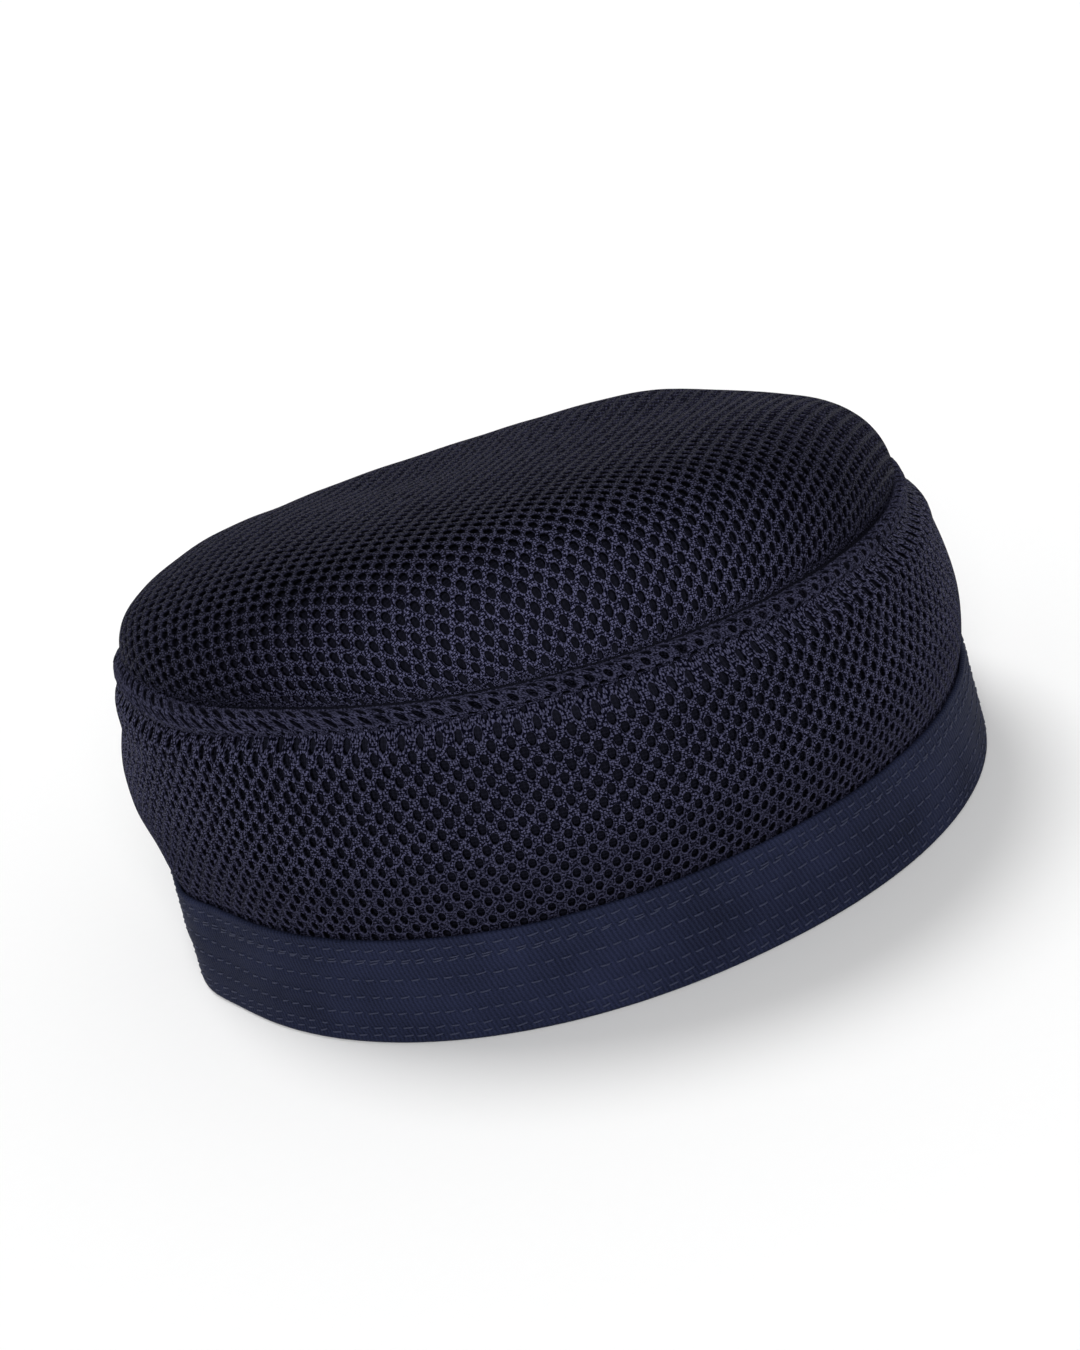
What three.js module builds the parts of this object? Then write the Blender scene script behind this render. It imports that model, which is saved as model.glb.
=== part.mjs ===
// Prayer cap of thick spacer mesh, standing on its rim.
// A puffed oval crown, a rolled welt, a bulging side wall and a folded twill headband.
// Millimetres, +Z up, front toward -Y, origin at the middle of the footprint.

import * as THREE from 'three';
import { ParametricGeometry } from 'three/addons/geometries/ParametricGeometry.js';
import { mergeVertices } from 'three/addons/utils/BufferGeometryUtils.js';

// Driving sizes
const HALF_LENGTH = 101.8; // rim, along X
const HALF_WIDTH = 88.3; // rim, along Y
const SEAM_HEIGHT = 67.4; // foot of the welt, mean over the circle
const BAND_HEIGHT = 26.3;
const CROWN_RISE = 25.2; // crown above the welt, mean over the circle
const MESH_THICKNESS = 2.8;
const TAPE_THICKNESS = 1.2; // twill of the headband
const WELT_PROUD = 1.7; // welt above the skin on both its sides
const WELT_SUNK = 0.6; // middle of the welt below that skin
const SEWN_GAP = 0.3; // between neighbouring pieces

// The cap leans: its welt and crown stand higher at the front and at the -X end
const LEAN_X = -0.071 * SEAM_HEIGHT;
const LEAN_Y = -0.12 * SEAM_HEIGHT;
const CROWN_SLOPE_X = -0.045 * CROWN_RISE;
const CROWN_SLOPE_Y = -0.32 * CROWN_RISE;

// Soft dents in the crown, behind its middle and at its +X shoulder: depth as a share of
// CROWN_RISE, place and reach as shares of the crown's half axes
const DENTS = [
  { depth: 0.16, x: -0.13, y: 0.5, reach: 0.36 },
  { depth: 0.1, x: 0.72, y: 0.05, reach: 0.34 },
];

// Profile of the crown from its edge to its middle: steep at the edge, nearly flat on top
const CROWN_FLATNESS = 6.3;
const CROWN_SHOULDER = 1.9;

// How fast the wall swells out of the headband that pinches it
const PINCH_FADE = 6;

// Oval sections of the outer skin. height is a share of SEAM_HEIGHT, length and shiftX of
// HALF_LENGTH, width and shiftY of HALF_WIDTH, lean of the full lean; fullness 2 is an ellipse.
const SECTIONS = {
  rim: { height: 0, length: 1, width: 1, fullness: 2.12, shiftX: 0.006, shiftY: 0.005, lean: 0 },
  bandTop: {
    height: BAND_HEIGHT / SEAM_HEIGHT,
    length: 0.984, width: 1.014, fullness: 2.12, shiftX: 0, shiftY: 0.014, lean: 0,
  },
  belly: { height: 0.7, length: 0.996, width: 1.067, fullness: 2, shiftX: -0.01, shiftY: 0, lean: 0.5 },
  weltFoot: {
    height: 1,
    length: 0.955, width: 1.018, fullness: 1.91, shiftX: -0.028, shiftY: -0.015, lean: 1,
  },
  weltHead: {
    height: 1.05,
    length: 0.917, width: 0.947, fullness: 1.91, shiftX: -0.028, shiftY: -0.015, lean: 1,
  },
};

// Facets
const AROUND = 72;
const WALL_STEPS = 9;
const WELT_SIDES = 10;
const CROWN_RINGS = 12;
const WELD_DISTANCE = 1e-3;

const COLOURS = { mesh: 0x262f45, welt: 0x242d43, tape: 0x1f2a48 };

/** Point of the unit oval of the given fullness, at a share of the way round. */
function unitOval(turn, fullness) {
  const angle = turn * Math.PI * 2;
  const c = Math.cos(angle);
  const s = Math.sin(angle);
  const k = (Math.abs(c) ** fullness + Math.abs(s) ** fullness) ** (-1 / fullness);
  return { x: c * k, y: s * k };
}

/** Point of a section, moved inward by inset. */
function sectionPoint(section, turn, inset = 0) {
  const unit = unitOval(turn, section.fullness);
  return new THREE.Vector3(
    (section.length * HALF_LENGTH - inset) * unit.x + section.shiftX * HALF_LENGTH,
    (section.width * HALF_WIDTH - inset) * unit.y + section.shiftY * HALF_WIDTH,
    section.height * SEAM_HEIGHT + section.lean * (LEAN_X * unit.x + LEAN_Y * unit.y),
  );
}

/** Outer skin of the headband: straight from the rim (0) to its top edge (1). */
function bandPoint(share, turn, inset) {
  const foot = sectionPoint(SECTIONS.rim, turn, inset);
  return foot.lerp(sectionPoint(SECTIONS.bandTop, turn, inset), share);
}

/** Outer skin of the side wall: a parabola through band top (0), belly (0.5) and welt foot (1). */
function wallPoint(share, turn, inset) {
  const low = sectionPoint(SECTIONS.bandTop, turn, inset);
  const middle = sectionPoint(SECTIONS.belly, turn, inset);
  const high = sectionPoint(SECTIONS.weltFoot, turn, inset);
  return low.multiplyScalar((1 - share) * (1 - 2 * share))
    .addScaledVector(middle, 4 * share * (1 - share))
    .addScaledVector(high, share * (2 * share - 1));
}

/** Crown surface at a share of the way from its middle (0) to its edge (1). */
function crownPoint(share, turn, inset) {
  const unit = unitOval(turn, SECTIONS.weltHead.fullness);
  const x = share * unit.x;
  const y = share * unit.y;
  const edge = SECTIONS.weltHead;
  const swell = Math.max(0, 1 - share ** CROWN_FLATNESS) ** (1 / CROWN_SHOULDER);
  const dented = DENTS.reduce((sum, dent) => (
    sum + dent.depth * Math.exp(-((x - dent.x) ** 2 + (y - dent.y) ** 2) / dent.reach ** 2)
  ), 0);
  const rise = CROWN_RISE * (1 - dented) - inset + CROWN_SLOPE_X * x + CROWN_SLOPE_Y * y;
  return new THREE.Vector3(
    (edge.length * HALF_LENGTH - inset) * x + edge.shiftX * HALF_LENGTH,
    (edge.width * HALF_WIDTH - inset) * y + edge.shiftY * HALF_WIDTH,
    edge.height * SEAM_HEIGHT + SEWN_GAP + LEAN_X * x + LEAN_Y * y + swell * rise,
  );
}

/** Closed mesh from a surface that returns to itself or runs between two poles. */
function closedGeometry(pointAt, steps) {
  const surface = new ParametricGeometry((u, v, target) => target.copy(pointAt(u, v)), AROUND, steps);
  surface.deleteAttribute('normal');
  surface.deleteAttribute('uv');
  const welded = mergeVertices(surface, WELD_DISTANCE);
  const corners = welded.getIndex().array;
  const kept = [];
  for (let i = 0; i < corners.length; i += 3) {
    const [a, b, c] = corners.slice(i, i + 3);
    if (a !== b && b !== c && c !== a) kept.push(a, b, c);
  }
  welded.setIndex(kept);
  welded.computeVertexNormals();
  return welded;
}

/** Ring whose cross section is a closed list of stations, each a function of the turn. */
function ringGeometry(stations) {
  const steps = stations.length;
  return closedGeometry((u, v) => stations[Math.round(v * steps) % steps](u % 1), steps);
}

/** U-shaped strip of twill folded over the lower edge of the side wall. */
function headbandGeometry() {
  const edgeRound = 0.75 * TAPE_THICKNESS;
  const channel = TAPE_THICKNESS + MESH_THICKNESS + 2 * SEWN_GAP;
  const back = channel + TAPE_THICKNESS;
  const liningHeight = 0.8 * BAND_HEIGHT;
  const profile = [
    { inset: 0, height: edgeRound },
    { inset: 0, height: 0.5 * BAND_HEIGHT },
    { inset: 0, height: BAND_HEIGHT - 0.3 * TAPE_THICKNESS },
    { inset: 0.3 * TAPE_THICKNESS, height: BAND_HEIGHT },
    { inset: TAPE_THICKNESS, height: BAND_HEIGHT },
    { inset: TAPE_THICKNESS, height: TAPE_THICKNESS },
    { inset: channel, height: TAPE_THICKNESS },
    { inset: channel, height: liningHeight },
    { inset: back, height: liningHeight },
    { inset: back, height: edgeRound },
    { inset: back - edgeRound, height: 0 },
    { inset: edgeRound, height: 0 },
  ];
  return ringGeometry(profile.map(({ inset, height }) => (
    (turn) => bandPoint(height / BAND_HEIGHT, turn, inset)
  )));
}

/** Spacer-mesh wall, tucked into the headband below and ending under the welt. */
function sideWallGeometry() {
  const tucked = TAPE_THICKNESS + SEWN_GAP;
  const wallHeight = SEAM_HEIGHT - BAND_HEIGHT;
  const topShare = 1 - 1.6 * SEWN_GAP / wallHeight;
  const innerTopShare = 1 - 0.8 * MESH_THICKNESS / wallHeight;
  const lowShares = [tucked / BAND_HEIGHT, 0.5];
  const outer = lowShares.map((share) => (turn) => bandPoint(share, turn, tucked));
  const inner = lowShares.map((share) => (turn) => bandPoint(share, turn, tucked + MESH_THICKNESS)).reverse();
  for (let i = 0; i <= WALL_STEPS; i++) {
    const share = i / WALL_STEPS;
    const inset = tucked * (1 - share) ** PINCH_FADE;
    outer.push((turn) => wallPoint(share * topShare, turn, inset));
    inner.unshift((turn) => wallPoint(share * innerTopShare, turn, inset + MESH_THICKNESS));
  }
  return ringGeometry([...outer, ...inner]);
}

/** Rolled seam between wall and crown, an oval bead laid between its foot and its head. */
function weltGeometry() {
  const stations = [];
  for (let i = 0; i < WELT_SIDES; i++) {
    const angle = (i / WELT_SIDES) * Math.PI * 2;
    stations.push((turn) => {
      const foot = sectionPoint(SECTIONS.weltFoot, turn);
      const head = sectionPoint(SECTIONS.weltHead, turn);
      const across = head.clone().sub(foot).multiplyScalar(0.5);
      const along = new THREE.Vector3(-(foot.y + head.y), foot.x + head.x, 0).normalize();
      const outward = along.cross(across).normalize();
      return foot.add(head).multiplyScalar(0.5)
        .addScaledVector(across, -Math.cos(angle))
        .addScaledVector(outward, Math.sin(angle) * (WELT_PROUD + WELT_SUNK) - WELT_SUNK);
    });
  }
  return ringGeometry(stations);
}

/** Puffed crown of spacer mesh, a shell from its inner middle, round its edge, to its outer middle. */
function crownGeometry() {
  const share = (ring) => Math.sqrt(Math.sin((ring / CROWN_RINGS) * Math.PI / 2));
  const under = [];
  const over = [];
  for (let ring = 0; ring <= CROWN_RINGS; ring++) {
    under.push({ share: share(ring), inset: MESH_THICKNESS });
    over.unshift({ share: share(ring), inset: 0 });
  }
  const stations = [...under, ...over];
  const steps = stations.length - 1;
  return closedGeometry((u, v) => {
    const station = stations[Math.round(v * steps)];
    return crownPoint(station.share, u % 1, station.inset);
  }, steps);
}

/** One named sub-part with its own material. */
function piece(name, geometry, color, roughness) {
  const material = new THREE.MeshStandardMaterial({ color, roughness, metalness: 0 });
  const mesh = new THREE.Mesh(geometry, material);
  mesh.name = name;
  return mesh;
}

const cap = new THREE.Group();
cap.add(
  piece('headband', headbandGeometry(), COLOURS.tape, 0.85),
  piece('side_wall', sideWallGeometry(), COLOURS.mesh, 0.8),
  piece('crown_welt', weltGeometry(), COLOURS.welt, 0.8),
  piece('crown_panel', crownGeometry(), COLOURS.mesh, 0.8),
);

export default cap;
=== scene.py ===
# Prayer cap of spacer mesh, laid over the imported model.
# Metres, +Z up, front toward -Y, as in the frame.
import math
from collections import namedtuple

import bpy
import numpy as np
from bpy.props import FloatProperty, FloatVectorProperty, IntProperty, PointerProperty
from mathutils import Matrix, Vector


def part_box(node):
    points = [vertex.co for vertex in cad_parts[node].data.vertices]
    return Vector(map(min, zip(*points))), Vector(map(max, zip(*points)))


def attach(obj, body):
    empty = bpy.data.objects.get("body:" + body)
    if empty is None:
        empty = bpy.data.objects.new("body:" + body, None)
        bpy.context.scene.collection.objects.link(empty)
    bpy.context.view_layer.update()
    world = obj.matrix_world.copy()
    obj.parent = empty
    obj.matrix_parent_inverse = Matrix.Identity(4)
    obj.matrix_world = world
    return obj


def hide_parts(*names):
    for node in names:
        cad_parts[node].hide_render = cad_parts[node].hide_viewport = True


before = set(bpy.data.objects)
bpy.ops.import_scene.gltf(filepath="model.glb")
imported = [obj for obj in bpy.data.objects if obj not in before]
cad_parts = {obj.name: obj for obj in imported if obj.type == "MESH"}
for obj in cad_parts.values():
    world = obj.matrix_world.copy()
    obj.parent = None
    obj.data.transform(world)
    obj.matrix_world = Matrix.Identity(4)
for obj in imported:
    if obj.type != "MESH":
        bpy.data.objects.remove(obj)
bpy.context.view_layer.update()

bl_info = {
    "name": "Prayer Cap",
    "version": (1, 0, 0),
    "blender": (4, 5, 0),
    "location": "View3D > Sidebar > Prayer Cap",
    "description": "Cap of pierced spacer mesh with a rolled welt and a stitched twill headband",
    "category": "Mesh",
}

MILLIMETRE = 0.001
BAND_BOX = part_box("headband")

# Oval sections of the skin: height is a share of the seam's height, length and shift_x of the
# rim's half length, width and shift_y of its half width, lean of the full lean. A fullness of
# 2 is an ellipse.
Section = namedtuple("Section", "height length width fullness shift_x shift_y lean")
RIM = Section(0.0, 1.0, 1.0, 2.12, 0.006, 0.005, 0.0)
BELLY = Section(0.7, 0.996, 1.067, 2.0, -0.01, 0.0, 0.5)
WELT_FOOT = Section(1.0, 0.955, 1.018, 1.91, -0.028, -0.015, 1.0)
WELT_HEAD = Section(1.05, 0.917, 0.947, 1.91, -0.028, -0.015, 1.0)

# Dents of the crown: depth as a share of its rise, place and reach as shares of its half axes
Dent = namedtuple("Dent", "depth x y reach")
DENTS = (Dent(0.16, -0.13, 0.5, 0.36), Dent(0.1, 0.72, 0.05, 0.34))
# Swells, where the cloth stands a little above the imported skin: dents of negative depth
SWELLS = (Dent(-0.1, 0.66, 0.38, 0.3), Dent(-0.045, -0.6, 0.5, 0.32))

# Rows of stitches on the headband, as shares of its height below its upper edge
STITCH_ROWS = (0.085, 0.205, 0.37, 0.54, 0.7, 0.84, 0.915)
DOUBLE_ROW = 1

# Headband: its cut length, the inner face as a share of the outer, and the cloth in its fold
BAND_CUT = 0.6
LINING_SHARE = 0.8
FOLD_ALLOWANCE = 0.004

# Welt: rows of holes round its cross section, and the cloth that they take
WELT_ROWS = 6
WELT_CLOTH = 0.0192

# Depth of a hole's bottom where the cloth is sewn in
SEWN_BOTTOM = 0.5 * MILLIMETRE

# Seeds of the small differences between holes
WALL_SEED = 11
CROWN_SEED = 12
WELT_SEED = 13


def size(name, description, default):
    """A length of the cap, in metres."""
    return FloatProperty(
        name=name, description=description, default=default, min=0.0, unit="LENGTH", precision=4
    )


def colour(name, description, default):
    """A colour of the cap."""
    return FloatVectorProperty(
        name=name, description=description, default=default, size=3, min=0.0, max=1.0,
        subtype="COLOR",
    )


class CapShape(bpy.types.PropertyGroup):
    """Sizes of the cap's skin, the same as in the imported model. The soft forms come on top."""

    half_length: size("Half length", "Rim from its middle to its end", 0.1018)
    half_width: size("Half width", "Rim from its middle to its front", 0.0883)
    seam_height: size("Seam height", "Foot of the welt above the table, mean", 0.0674)
    band_height: size("Band height", "Headband above the table", BAND_BOX[1][2])
    crown_rise: size("Crown rise", "Crown above the welt, mean", 0.0252)
    mesh_thickness: size("Mesh thickness", "Spacer mesh from face to back", 0.0028)
    tape_thickness: size("Tape thickness", "Twill of the headband", 0.0012)
    welt_proud: size("Welt proud", "Welt above the skin on both its sides", 0.0017)
    welt_sunk: size("Welt sunk", "Part of the welt's half thickness that lies below the skin", 0.0006)
    sewn_gap: size("Sewn gap", "Room between neighbouring pieces", 0.0003)
    lean_x: FloatProperty(
        name="Lean along X", description="Share of the seam height", default=-0.071
    )
    lean_y: FloatProperty(
        name="Lean along Y", description="Share of the seam height", default=-0.12
    )
    slope_x: FloatProperty(
        name="Crown slope X", description="Share of the crown's rise", default=-0.045
    )
    slope_y: FloatProperty(
        name="Crown slope Y", description="Share of the crown's rise", default=-0.32
    )
    flatness: FloatProperty(
        name="Crown flatness", description="How far out the top stays flat", default=6.3
    )
    shoulder: FloatProperty(
        name="Crown shoulder", description="How steep the crown's edge is", default=1.9
    )
    pinch_fade: FloatProperty(
        name="Pinch fade", description="How fast the wall swells out of the band", default=6.0
    )


class SpacerCloth(bpy.types.PropertyGroup):
    """Pattern of the pierced spacer mesh."""

    columns: IntProperty(
        name="Columns", description="Holes in one row round the wall", default=143, min=12
    )
    column_pitch: size("Column pitch", "Between holes of one row", 0.0042)
    row_pitch: size("Row pitch", "Between rows of holes, every other row half a hole on", 0.00265)
    hole_width: size("Hole width", "Across the rows' direction", 0.00198)
    hole_height: size("Hole height", "Along the wales", 0.00305)
    face_depth: size("Face depth", "How deep the pierced face reaches", 0.0011)
    back_depth: size("Back depth", "Where the cloth's closed back begins", 0.0019)
    row_ease: FloatProperty(
        name="Row ease", description="1 squeezes the same rows in all round, 0 cuts them off",
        default=0.6, min=0.0, max=1.0,
    )
    crown_turn: FloatProperty(
        name="Crown turn", description="Turn of the crown's rows from the X axis",
        default=math.radians(-3.0), unit="ROTATION",
    )
    puff: size("Puff", "Swelling of the wall just under the welt", 0.0009)
    tuck: size("Tuck", "How far the wall draws in under the welt", 0.0024)
    wave: size("Wave", "Soft unevenness of the cloth", 0.00025)


class Stitching(bpy.types.PropertyGroup):
    """Stitches of the headband."""

    per_row: IntProperty(name="Stitches a row", description="All round", default=166, min=8)
    length: size("Stitch length", "Seen length of one stitch", 0.0026)
    thickness: size("Thread thickness", "Of the sewing thread", 0.00042)
    tilt: FloatProperty(
        name="Tilt", description="Rise of each stitch along the row",
        default=math.radians(7.0), unit="ROTATION",
    )
    sink: size("Sink", "How deep the rows press into the twill", 0.00028)
    double_gap: size("Double gap", "Between the two lines of the double row", 0.0007)
    seed: IntProperty(name="Seed", description="Seed of the small differences", default=7)


class CapColours(bpy.types.PropertyGroup):
    """Colours of the cap's cloths and thread."""

    # The knit is painted between these two by its height: painted shade between the loops and a
    # painted highlight on them
    mesh_low: colour("Mesh in shade", "Mesh between its loops", (0.0014, 0.0014, 0.0044))
    mesh_high: colour("Mesh loops", "Loops of the knit that catch the light", (0.0705, 0.071, 0.127))
    back: colour("Mesh back", "Closed back seen through the holes", (0.0058, 0.006, 0.0112))
    # The twill is painted between these two by its height: painted shade between the ribs and a
    # painted highlight on them
    tape_low: colour("Twill in shade", "Between the twill's ribs", (0.0028, 0.0038, 0.0094))
    tape_high: colour("Twill ribs", "Raised ribs of the twill", (0.0195, 0.024, 0.057))
    thread: colour("Thread", "Sewing thread", (0.032, 0.037, 0.071))
    floor: colour("Floor", "Table top", (0.92, 0.92, 0.92))


class StageSet(bpy.types.PropertyGroup):
    """Camera, lights and floor."""

    camera_place: FloatVectorProperty(
        name="Camera", description="Place of the camera", size=3, subtype="TRANSLATION",
        default=(-0.24872, -0.58452, 0.33868), unit="LENGTH",
    )
    azimuth: FloatProperty(
        name="Azimuth", description="Camera's turn from the front toward +X",
        default=-0.3986, unit="ROTATION",
    )
    elevation: FloatProperty(
        name="Elevation", description="Camera above the horizon", default=0.439, unit="ROTATION"
    )
    roll: FloatProperty(
        name="Roll", description="Turn of the picture", default=-0.235, unit="ROTATION"
    )
    lens: FloatProperty(
        name="Lens", description="Focal length for a 36 mm side, in mm", default=77.94
    )
    key: FloatProperty(name="Key light", description="From behind at the left, in W/m2", default=1.4)
    fill: FloatProperty(name="Fill light", description="From the front, in W/m2", default=1.9)
    sky: FloatProperty(name="Sky", description="Strength of the white room's ceiling", default=0.3)
    walls: FloatProperty(name="Walls", description="Strength of its bright walls", default=0.9)
    floor_size: size("Floor size", "Side of the square floor", 9.0)


# Skin of the cap

def unit_oval(turn, fullness):
    """Oval in which |x|^fullness + |y|^fullness is 1, at a share of the way round."""
    angle = turn * 2 * np.pi
    c = np.cos(angle)
    s = np.sin(angle)
    k = (np.abs(c) ** fullness + np.abs(s) ** fullness) ** (-1 / fullness)
    return c * k, s * k


def lean_at(shape, x, y):
    """Height gained by the lean at a place in the unit oval."""
    return shape.seam_height * (shape.lean_x * x + shape.lean_y * y)


def section_point(shape, section, turn, inset=0.0):
    """Half axes less the inset, times the unit oval, plus the shift; height plus the lean."""
    x, y = unit_oval(turn, section.fullness)
    return np.stack(np.broadcast_arrays(
        (section.length * shape.half_length - inset) * x + section.shift_x * shape.half_length,
        (section.width * shape.half_width - inset) * y + section.shift_y * shape.half_width,
        section.height * shape.seam_height + section.lean * lean_at(shape, x, y),
    ), axis=-1)


def hump(turn, middle, width):
    """Bell of the turn round a middle, 1 there."""
    return np.exp(-((turn - middle) / width) ** 2)


def band_corner(share, turn):
    """Soft corner of the headband at the -X end: a narrow bell outward, which stands out more
    toward the upper edge, less a narrow bell just behind it."""
    turn = turn % 1.0
    out = (1.4 + 1.0 * share) * hump(turn, 0.503, 0.017)
    return MILLIMETRE * (out - 1.2 * hump(turn, 0.466, 0.018))


def band_top(shape):
    """Section of the skin at the headband's upper edge."""
    return Section(shape.band_height / shape.seam_height, 0.984, 1.014, 2.12, 0.0, 0.014, 0.0)


def band_point(shape, share, turn, inset):
    """Straight line from the rim (0) to the headband's edge (1), with its soft corner."""
    inset = inset - band_corner(share, turn)
    foot = section_point(shape, RIM, turn, inset)
    edge = section_point(shape, band_top(shape), turn, inset)
    share = np.asarray(share)[..., None]
    return foot + (edge - foot) * share


def bulge_point(shape, share, turn, inset):
    """Parabola through the headband's edge (0), the belly (0.5) and the welt's foot (1)."""
    low = section_point(shape, band_top(shape), turn, inset)
    middle = section_point(shape, BELLY, turn, inset)
    high = section_point(shape, WELT_FOOT, turn, inset)
    share = np.asarray(share)[..., None]
    return (
        low * (1 - share) * (1 - 2 * share)
        + middle * 4 * share * (1 - share)
        + high * share * (2 * share - 1)
    )


def crown_point(shape, share, turn, inset):
    """Share of the oval outward, raised by (1 - share^flatness)^(1 / shoulder) of the rise.

    The rise is less where a bell-shaped dent lies and more where a swell does, and it slopes."""
    unit_x, unit_y = unit_oval(turn, WELT_HEAD.fullness)
    x = share * unit_x
    y = share * unit_y
    swell = np.maximum(0.0, 1 - share ** shape.flatness) ** (1 / shape.shoulder)
    dented = sum(
        dent.depth * np.exp(-((x - dent.x) ** 2 + (y - dent.y) ** 2) / dent.reach ** 2)
        for dent in DENTS + SWELLS
    )
    rise = shape.crown_rise * (1 - dented + shape.slope_x * x + shape.slope_y * y) - inset
    height = WELT_HEAD.height * shape.seam_height + shape.sewn_gap + lean_at(shape, x, y)
    return np.stack(np.broadcast_arrays(
        (WELT_HEAD.length * shape.half_length - inset) * x + WELT_HEAD.shift_x * shape.half_length,
        (WELT_HEAD.width * shape.half_width - inset) * y + WELT_HEAD.shift_y * shape.half_width,
        height + swell * rise,
    ), axis=-1)


def ease(value, low, high):
    """Smooth step from 0 at low to 1 at high."""
    share = np.clip((value - low) / (high - low), 0.0, 1.0)
    return share * share * (3 - 2 * share)


def waves(turn, along):
    """Sum of slow sines of the turn and of the place along the profile, from about -1 to 1."""
    angle = turn * 2 * np.pi
    return (
        0.5 * np.sin(5 * angle + 3.1 * along + 0.4)
        + 0.3 * np.sin(11 * angle - 4.7 * along + 2.0)
        + 0.2 * np.sin(23 * angle + 7.3 * along + 4.1)
    )


def seam_lift(turn):
    """Height by which the seam rises at the cap's soft -X end: the sum of two bells."""
    turn = turn % 1.0
    return MILLIMETRE * (3.6 * hump(turn, 0.47, 0.055) + 1.8 * hump(turn, 0.58, 0.05))


def wall_skin(shape, cloth, share, turn, depth):
    """The bulge, moved in or out by a sum: in where the headband pinches it, fading with a power
    of the height, out in a bell-shaped puff under the welt, in again where it is tucked below
    the welt, out at the soft -X end and at the headband's corner, and by slow waves.

    Its upper part rises with the seam, and its top edge by half a millimetre more. Below share 0
    it runs down inside the headband. Depth moves it inward."""
    tucked = shape.tape_thickness + shape.sewn_gap
    above = np.clip(share, 0.0, 1.0)
    angle = turn * 2 * np.pi
    fuller = 1 + 0.2 * np.clip(np.cos(angle - 0.5), 0.0, 1.0)
    puff = cloth.puff * fuller * np.exp(-((above - 0.87) / 0.08) ** 2)
    tuck = cloth.tuck * ease(above, 0.9, 1.0)
    uneven = cloth.wave * waves(turn, above) * ease(above, 0.0, 0.3) * (1 - ease(above, 0.8, 1.0))
    end = 2.2 * hump(turn % 1.0, 0.43, 0.06) * ease(above, 0.0, 0.14)
    end = end * (1 - ease(above, 0.45, 0.85))
    end = MILLIMETRE * end + band_corner(1.0, turn) * (1 - ease(above, 0.0, 0.3))
    inset = tucked * (1 - above) ** shape.pinch_fade - puff + tuck - uneven - end + depth
    wall_height = shape.seam_height - shape.band_height
    below = 1 + np.minimum(share, 0.0) * wall_height / shape.band_height
    inside = band_point(shape, below, turn, tucked + depth)
    outside = bulge_point(shape, above, turn, inset)
    outside[..., 2] += 0.5 * MILLIMETRE * ease(above, 0.955, 1.0)
    outside[..., 2] += seam_lift(turn) * ease(above, 0.7, 1.0)
    return np.where((share < 0)[..., None], inside, outside)


def wall_lengths(shape, steps=96, samples=40):
    """Length of the wall's profile at each of several turns."""
    turn, share = np.meshgrid(np.arange(steps) / steps, np.linspace(0, 1, samples), indexing="ij")
    path = bulge_point(shape, share, turn, 0.0)
    return np.linalg.norm(np.diff(path, axis=1), axis=-1).sum(axis=1)


def periodic(table, turn):
    """Straight-line reading of a table that runs once round."""
    steps = len(table)
    place = (turn % 1.0) * steps
    low = np.floor(place).astype(int) % steps
    part = place - np.floor(place)
    return table[low] * (1 - part) + table[(low + 1) % steps] * part


CrownMap = namedtuple("CrownMap", "angles turns lengths shares")


def map_crown(shape, steps=180, samples=900, stations=240):
    """Tables that lay flat cloth on the crown: lengths from its middle are kept on each ray."""
    turn = np.arange(steps) / steps
    share = np.sin(np.linspace(0, 1, samples) * np.pi / 2)
    path = crown_point(shape, share[None, :], turn[:, None], 0.0)
    grown = np.cumsum(np.linalg.norm(np.diff(path, axis=1), axis=-1), axis=1)
    grown = np.concatenate([np.zeros((steps, 1)), grown], axis=1)
    lengths = grown[:, -1]
    wanted = np.linspace(0, 1, stations)
    shares = np.stack([
        np.interp(wanted, row / row[-1], share) for row in grown
    ])
    x, y = unit_oval(turn, WELT_HEAD.fullness)
    angles = np.unwrap(np.arctan2(
        WELT_HEAD.width * shape.half_width * y, WELT_HEAD.length * shape.half_length * x
    ))
    angles = np.append(angles, angles[0] + 2 * np.pi)
    return CrownMap(angles, np.append(turn, 1.0), lengths, shares)


def crown_share(table, share, turn):
    """Share of the crown's half axes at a share of its profile's length, from the tables."""
    steps, stations = table.shares.shape
    row = (turn % 1.0) * steps
    low = np.floor(row).astype(int) % steps
    row_part = row - np.floor(row)
    place = np.clip(share, 0.0, 1.0) * (stations - 1)
    left = np.minimum(np.floor(place).astype(int), stations - 2)
    part = place - left
    high = (low + 1) % steps
    near = table.shares[low, left] * (1 - part) + table.shares[low, left + 1] * part
    far = table.shares[high, left] * (1 - part) + table.shares[high, left + 1] * part
    return near * (1 - row_part) + far * row_part


def crown_skin(shape, cloth, table, share, turn, depth):
    """The crown at a share of its profile's length, with slow waves. Depth moves it inward.

    Toward its edge it is widened by a bell at each end, -X and +X, and drawn in between them.
    Its outer part rises with the seam."""
    uneven = cloth.wave * waves(turn, share * 2) * ease(share, 0.0, 0.3)
    uneven = uneven * (1 - ease(share, 0.85, 1.0))
    near = hump(turn % 1.0, 0.47, 0.07)
    far = hump((turn + 0.5) % 1.0, 0.48, 0.08)
    tucked = 0.7 * (1 - near) * (1 - far) * ease(share, 0.965, 1.0)
    ends = (1.8 * near + 2.0 * far) * ease(share, 0.72, 0.96)
    full = MILLIMETRE * (ends - tucked)
    points = crown_point(shape, crown_share(table, share, turn), turn, depth - full - uneven)
    points[..., 2] += seam_lift(turn) * ease(share, 0.7, 1.0)
    return points


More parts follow.
